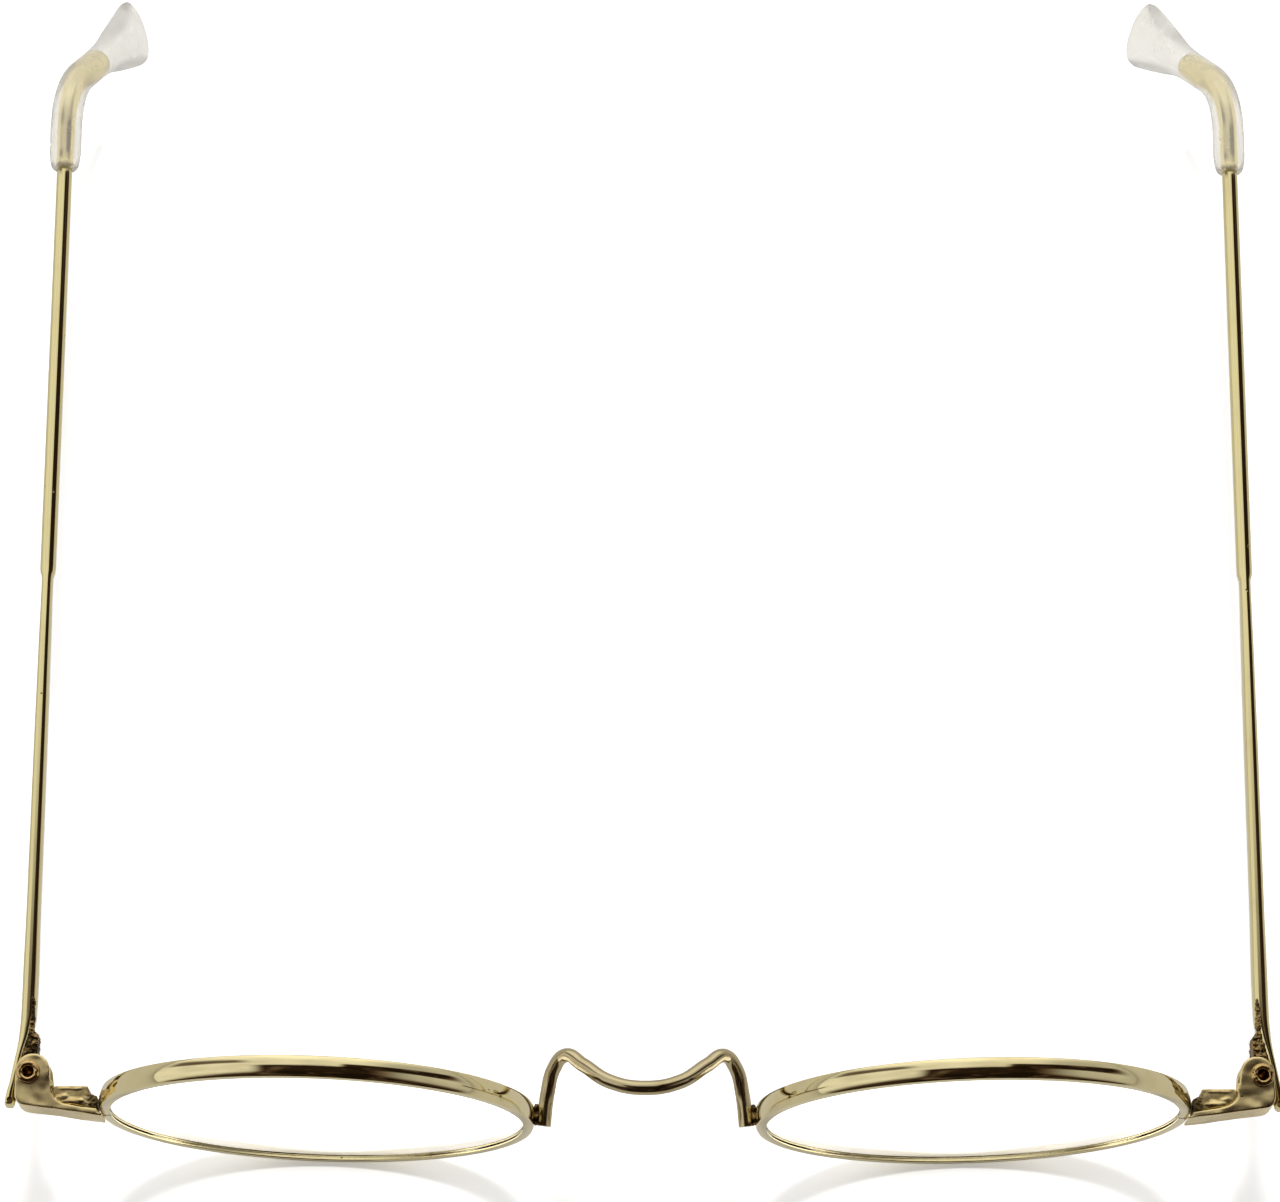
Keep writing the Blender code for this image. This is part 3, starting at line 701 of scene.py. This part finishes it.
def build_endpiece(name, side):
    """The stamped bracket, worn round at its edges, with two lumps at the root of its ear."""
    root = beads(ENDPIECE_LUMPS, lambda at: place(side, *at), seeds=(3, 5))
    mesh = softened(name, [cad_mesh(name + "_endpiece"), *root], voxel=0.07 * MM, passes=22)
    roughened(mesh, amount=0.09 * MM, size=4.5 * MM)
    smooth_shaded(mesh, 80)
    add_piece(name + "_bracket", mesh, LOOKS["satin"], "front", "endpiece_gold", name + "_endpiece")


def build_rim_lock(name, side):
    """Two half blocks, each with a leaf of flowed solder and a grainy inner end, and the closing screw."""

    def grainy(point):
        return min(max((LOCK_GRAINS_FROM - side * point.x) / (1.0 * MM), 0.04), 1.0)

    for half, sign in (("upper", 1), ("lower", -1)):
        node = f"{name}_rim_lock_{half}"
        lumps = beads(LOCK_LUMPS, lambda at, sign=sign: place(side, at[0], at[1], sign * at[2]))
        mesh = softened(node, [cad_mesh(node), *lumps], voxel=0.055 * MM, passes=9)
        roughened(mesh, amount=0.045 * MM, size=0.3 * MM, where=grainy)
        smooth_shaded(mesh, 60)
        add_piece(node + "_block", mesh, LOOKS["lock"], "front", "soldered_gold", node)
    node = name + "_rim_lock_screw"
    mesh = softened(node, [cad_mesh(node)], voxel=0.035 * MM, passes=2)
    smooth_shaded(mesh, 50)
    add_piece(node + "_turned", mesh, LOOKS["screw"], "front", "screw_metal", node)


def build_rivet(name, side):
    mesh = turned(name, [(r * MM, z * MM) for r, z in RIVET_PROFILE], 72)
    seated(mesh, hinge_frame(side))
    head = hinge_frame(side) @ Vector((0, 0, RIVET_HEAD))

    def rolled(point):
        return 1.0 if point.z > head.z - RIVET_ROLL else 0.0

    roughened(mesh, amount=0.035 * MM, size=0.5 * MM, where=rolled)
    smooth_shaded(mesh, 50)
    add_piece(name + "_rolled_rivet", mesh, LOOKS["brass"], "front", "rivet_brass", name + "_hinge_rivet")


def build_leaf(name, side):
    """The temple's hinge leaf, with the lumps of solder that hold it to the temple."""
    to_row = hinge_frame(side)
    lumps = beads(LEAF_LUMPS, lambda at: to_row @ Vector(at))
    mesh = softened(name, [cad_mesh(name + "_hinge_leaf"), *lumps], voxel=0.055 * MM, passes=3)
    inverse = to_row.inverted()

    def behind_eye(point):
        return min(max((inverse @ point).y / MM - LEAF_GRAINS_FROM, 0.0), 1.0)

    roughened(mesh, amount=0.12 * MM, size=0.35 * MM, where=behind_eye)
    smooth_shaded(mesh, 60)
    node = name + "_hinge_leaf"
    add_piece(name + "_soldered_leaf", mesh, LOOKS["solder"], name + "_temple", "soldered_gold", node)


# ---------------------------------------------------------------- temples and ear tips


def stadium(centre, half_width, half_height, points=48):
    """A section across Y: round above and below, with flat flanks when it is taller than wide."""
    straight = half_height - half_width
    ring = []
    for i in range(points):
        angle = 2 * math.pi * (i + 0.5) / points
        z = half_width * math.sin(angle) + math.copysign(straight, math.sin(angle))
        ring.append(centre + Vector((half_width * math.cos(angle), 0.0, z)))
    return ring


def leg_vector(name):
    return Vector((-TIP_INWARDS[name], TIP_BACK, -TIP_DROP))


def tip_route(name, distance):
    """(point, direction) at a distance behind the hinge axis along the temple's centre line."""
    corner = Vector((TEMPLE_OFFSET, BEND_AT, 0.0))
    back, leg = Vector((0, 1, 0)), leg_vector(name).normalized()
    past = distance - BEND_AT
    if past <= -BEND_REACH:
        return corner + back * past, back
    if past >= BEND_REACH:
        return corner + leg * past, leg
    t = (past + BEND_REACH) / (2 * BEND_REACH)
    start, end = corner - back * BEND_REACH, corner + leg * BEND_REACH
    point = start * (1 - t) ** 2 + corner * 2 * t * (1 - t) + end * t**2
    return point, (back * (1 - t) + leg * t).normalized()


def round_ring(name, distance, radius, points=48):
    centre, along = tip_route(name, distance)
    outwards = (Vector((1, 0, 0)) - along * along.x).normalized()
    up = outwards.cross(along)
    angles = [2 * math.pi * (i + 0.5) / points for i in range(points)]
    return [centre + outwards * radius * math.cos(a) + up * radius * math.sin(a) for a in angles]


def oval_ring(name, distance, wide, thick, points=56):
    centre, along = tip_route(name, distance)
    sideways = (PADDLE_SIDEWAYS - along * PADDLE_SIDEWAYS.dot(along)).normalized()
    through = along.cross(sideways)
    angles = [2 * math.pi * (i + 0.5) / points for i in range(points)]
    return [centre + sideways * wide * math.cos(a) + through * thick * math.sin(a) for a in angles]


def steps_between(first, last, spacing):
    count = max(1, round((last - first) / spacing))
    return [first + (last - first) * i / count for i in range(count + 1)]


def build_temple(name, side):
    """Rolled flat half, shoulder, round half and the core inside the ear tip."""
    first, last = TEMPLE_SECTIONS[0][0], TEMPLE_SECTIONS[-1][0]
    rings = []
    for i in range(1, 8):
        turn = math.pi / 2 * i / 8
        y = first + BUTT_LENGTH * (1 - math.cos(turn))
        x, half_width, half_height = eased(TEMPLE_SECTIONS, y)
        share = math.sin(turn) ** 0.7
        height = half_height * (0.75 + 0.25 * share)
        centre = Vector((x, y, 0)) * MM
        rings.append(stadium(centre, half_width * share * MM, max(height * share, 0.01) * MM))
    along = steps_between(first + BUTT_LENGTH, 10.0, spacing=0.35)
    along += steps_between(10.4, STEP_AT - 2, spacing=0.9)
    along += steps_between(STEP_AT - 1.9, STEP_AT + 2, spacing=0.1)
    along += steps_between(STEP_AT + 2.4, last, spacing=0.6)
    for y in along:
        x, half_width, half_height = eased(TEMPLE_SECTIONS, y)
        rings.append(stadium(Vector((x, y, 0)) * MM, half_width * MM, half_height * MM))
    radius = CORE_RADIUS * MM
    dome = radius * 0.7
    dome_start = BEND_AT + CORE_PAST_BEND - dome
    for distance in steps_between(last * MM + 0.3 * MM, dome_start, spacing=0.4 * MM):
        rings.append(round_ring(name, distance, radius))
    for i in range(1, 7):
        turn = math.pi / 2 * i / 6.3
        rings.append(round_ring(name, dome_start + dome * math.sin(turn), radius * math.cos(turn)))
    mesh = loft(name, rings)
    seated(mesh, hinge_frame(side))
    mesh = with_butt_hole(side, mesh)
    smooth_shaded(mesh, 45)
    node = name + "_temple"
    add_piece(name + "_temple_bar", mesh, LOOKS["temple"], name + "_temple", "polished_gold", node)


def with_butt_hole(side, mesh):
    """The small round hole drilled down into the temple's front end."""
    work = bmesh.new()
    bmesh.ops.create_cone(
        work, cap_ends=True, segments=32, radius1=0.3 * MM, radius2=0.36 * MM, depth=1.6 * MM
    )
    cutter = new_object("butt_hole", mesh_from("butt_hole", work))
    cutter.location = hinge_frame(side) @ (Vector(BUTT_HOLE_AT) * MM)
    cutter.rotation_euler = (0.0, LEAN, 0.0)
    bpy.context.view_layer.update()
    result = applied(mesh, ("BOOLEAN", {"operation": "DIFFERENCE", "solver": "EXACT", "object": cutter}))
    bpy.data.objects.remove(cutter)
    return result


def tip_shapes(name):
    """(distance, wide, thick) along the ear tip: sleeve, neck, fan-shaped paddle and its round end."""
    neck = BEND_AT + NECK_PAST_BEND
    end = BEND_AT + leg_vector(name).length
    shapes = [(SLEEVE_START + distance, share, share) for distance, share in TIP_SHAPE_AT_MOUTH]
    shapes += [((BEND_AT + BEND_REACH) / MM, 1.0, 1.0)]
    for share, wide, thick in TIP_SHAPE_IN_PADDLE:
        shapes.append(((neck + share * (end - neck)) / MM, wide, thick))
    return shapes


def build_ear_tip(name, side):
    shapes = tip_shapes(name)
    start, end = shapes[0][0], shapes[-1][0]
    rings = []
    for distance, share in TIP_MOUTH:
        radius = share * SLEEVE_RADIUS
        rings.append(oval_ring(name, (start + distance) * MM, radius, radius))
    distances = steps_between(start, start + 2.2, spacing=0.1)
    distances += steps_between(start + 2.5, end - 2.4, spacing=0.35)
    distances += steps_between(end - 2.2, end, spacing=0.07)
    for distance in distances:
        wide, thick = eased(shapes, distance)
        rings.append(oval_ring(name, distance * MM, wide * SLEEVE_RADIUS, thick * SLEEVE_RADIUS))
    mesh = loft(name, rings)
    seated(mesh, hinge_frame(side))
    smooth_shaded(mesh, 60)
    add_piece(name + "_clear_tip", mesh, LOOKS["tip"], name + "_temple", "tip_clear", name + "_ear_tip")


# ---------------------------------------------------------------- studio


def build_floor():
    """White paper, burnt out where it is seen directly, through the ear tips or in the lenses."""
    work = bmesh.new()
    bmesh.ops.create_circle(work, cap_ends=True, segments=96, radius=3.0)
    mesh = mesh_from("floor", work)
    floor = new_object("floor", mesh)
    floor.location.z = CAD_BOUNDS[0][2] - 0.02 * MM
    look = Look("floor_white")
    look.fix(Roughness=0.8, Specular_IOR_Level=0.1)
    look.fix(Emission_Color=(1.0, 0.99, 0.97, 1.0), Emission_Strength=0.05)
    rays = look.add("ShaderNodeLightPath")
    paper = (0.76, 0.76, 0.755)
    in_tips = look.blend(rays.outputs["Is Transmission Ray"], paper, (1.56, 1.56, 1.55))
    in_lenses = look.blend(rays.outputs["Is Singular Ray"], in_tips, (2.4, 2.4, 2.4))
    look.finish(look.blend(rays.outputs["Is Camera Ray"], in_lenses, (1.62, 1.645, 1.67)))
    mesh.materials.append(look.material)


class Sky:
    """A world shader that sets its brightness by direction."""

    def __init__(self, name):
        world = bpy.data.worlds.new(name)
        bpy.context.scene.world = world
        world.use_nodes = True
        self.tree = world.node_tree
        self.background = self.tree.nodes["Background"]
        self.direction = self.tree.nodes.new("ShaderNodeTexCoord").outputs["Generated"]
        self.split = self.tree.nodes.new("ShaderNodeSeparateXYZ")
        self.tree.links.new(self.direction, self.split.inputs[0])

    def map(self, value, low, high, to_low=0.0, to_high=1.0):
        node = self.tree.nodes.new("ShaderNodeMapRange")
        node.interpolation_type = "SMOOTHSTEP"
        for key, number in zip(("From Min", "From Max", "To Min", "To Max"), (low, high, to_low, to_high)):
            node.inputs[key].default_value = number
        self.tree.links.new(value, node.inputs["Value"])
        return node.outputs["Result"]

    def ramp(self, axis, low, high, to_low=0.0, to_high=1.0):
        return self.map(self.split.outputs[axis], low, high, to_low, to_high)

    def cloud(self, scale, low, high, to_low, to_high):
        node = self.tree.nodes.new("ShaderNodeTexNoise")
        node.inputs["Scale"].default_value = scale
        node.inputs["Detail"].default_value = 2.0
        self.tree.links.new(self.direction, node.inputs["Vector"])
        return self.map(node.outputs["Fac"], low, high, to_low, to_high)

    def calculate(self, operation, first, second):
        node = self.tree.nodes.new("ShaderNodeMath")
        node.operation = operation
        for socket, value in zip(node.inputs, (first, second)):
            if isinstance(value, float):
                socket.default_value = value
            else:
                self.tree.links.new(value, socket)
        return node.outputs[0]

    def product(self, *values):
        result = values[0]
        for value in values[1:]:
            result = self.calculate("MULTIPLY", result, value)
        return result

    def patch(self, across, along, low, depth):
        """1 outside a soft-edged dark patch. across and along are (from, to, soft start, soft end)."""
        left, right, left_edge, right_edge = across
        near, far, near_edge, far_edge = along
        inside = self.product(
            self.ramp("X", left - left_edge, left + left_edge),
            self.ramp("X", right - right_edge, right + right_edge, 1.0, 0.0),
            self.ramp("Y", near - near_edge, near + near_edge),
            self.ramp("Y", far - far_edge, far + far_edge, 1.0, 0.0),
            self.ramp("Z", low, low + 0.2, 0.0, depth),
        )
        return self.calculate("SUBTRACT", 1.0, inside)


def build_world():
    """A bright room: dark above and in front, where the camera stands, and bright behind."""
    sky = Sky("studio")
    stand = sky.patch((-0.48, 0.66, 0.08, 0.2), (-0.85, 0.24, 0.05, 0.06), 0.0, 0.97)
    screen = sky.patch((0.26, 0.97, 0.05, 0.05), (0.15, 0.46, 0.04, 0.04), 0.0, 0.96)
    left_screen = sky.patch((-1.1, -0.52, 0.06, 0.08), (0.43, 0.62, 0.04, 0.06), -0.05, 0.8)
    front = sky.patch((-1.2, 1.2, 0.1, 0.1), (-1.2, -0.28, 0.05, 0.12), -0.1, 0.95)
    right_side = sky.ramp("X", 0.3, 0.7, 1.0, 0.66)
    uneven = sky.cloud(2.2, 0.35, 0.65, 0.84, 1.06)
    behind = sky.ramp("Y", 0.55, 0.85, 1.0, 1.5)
    open_sky = sky.product(right_side, uneven, behind, stand, screen, left_screen, front)
    glow = sky.cloud(4.5, 0.5, 0.72, 0.015, 0.15)
    level = sky.calculate("MAXIMUM", open_sky, glow)
    tint = sky.tree.nodes.new("ShaderNodeMix")
    tint.data_type = "RGBA"
    colours = [socket for socket in tint.inputs if socket.type == "RGBA"]
    colours[0].default_value = (0.85, 0.50, 0.32, 1.0)
    colours[1].default_value = (1.0, 0.99, 0.97, 1.0)
    sky.tree.links.new(sky.map(level, 0.0, 0.45), tint.inputs["Factor"])
    mixed = [socket for socket in tint.outputs if socket.type == "RGBA"][0]
    sky.tree.links.new(mixed, sky.background.inputs["Color"])
    sky.tree.links.new(sky.product(level, 0.88), sky.background.inputs["Strength"])


def area_light(name, direction, distance, size, radiance, shadow):
    """A round softbox facing the glasses, which no reflection shows."""
    lamp = bpy.data.lights.new(name, "AREA")
    lamp.shape = "DISK"
    lamp.size = size
    lamp.energy = radiance * math.pi * math.pi * size * size / 4
    lamp.color = (1.0, 0.99, 0.975)
    lamp.use_shadow = shadow
    obj = new_object(name, lamp)
    obj.location = Vector((0, 0, LEVEL)) + Vector(direction).normalized() * distance
    obj.rotation_euler = Vector(direction).to_track_quat("Z", "Y").to_euler()
    obj.visible_glossy = False
    obj.visible_transmission = False


def build_camera():
    """The photo's view: sight is the angle down to the front, axis the angle of the lens."""
    distance = 0.5
    sight = math.radians(78.7)
    axis = math.radians(72.525)
    roll = math.radians(0.16)
    aside = -0.65 * MM
    image_width = 1280
    focal_pixels = 4817.0
    camera = bpy.data.cameras.new("camera")
    camera.sensor_width = 36.0
    camera.lens = focal_pixels * camera.sensor_width / image_width
    camera.clip_start = 0.01
    camera.clip_end = 20.0
    obj = new_object("camera", camera)
    stands_at = Vector((aside, FRONT_Y - distance * math.cos(sight), LEVEL + distance * math.sin(sight)))
    turn = Matrix.Rotation(math.pi / 2 - axis, 4, "X") @ Matrix.Rotation(roll, 4, "Z")
    obj.matrix_world = Matrix.Translation(stands_at) @ turn
    bpy.context.scene.camera = obj


build_camera()
build_floor()
build_world()
area_light("softbox_behind", (0.0, 0.31, 0.95), distance=0.9, size=0.11, radiance=74.0, shadow=True)
area_light("softbox_in_front", (0.1, -0.42, 0.9), distance=0.9, size=0.2, radiance=12.0, shadow=False)
bpy.context.scene.view_settings.view_transform = "Standard"

build_bridge()
for side_name, side_sign in SIDES.items():
    build_rim(side_name, side_sign)
    build_lens(side_name, side_sign)
    build_endpiece(side_name, side_sign)
    build_rim_lock(side_name, side_sign)
    build_rivet(side_name, side_sign)
    build_leaf(side_name, side_sign)
    build_temple(side_name, side_sign)
    build_ear_tip(side_name, side_sign)
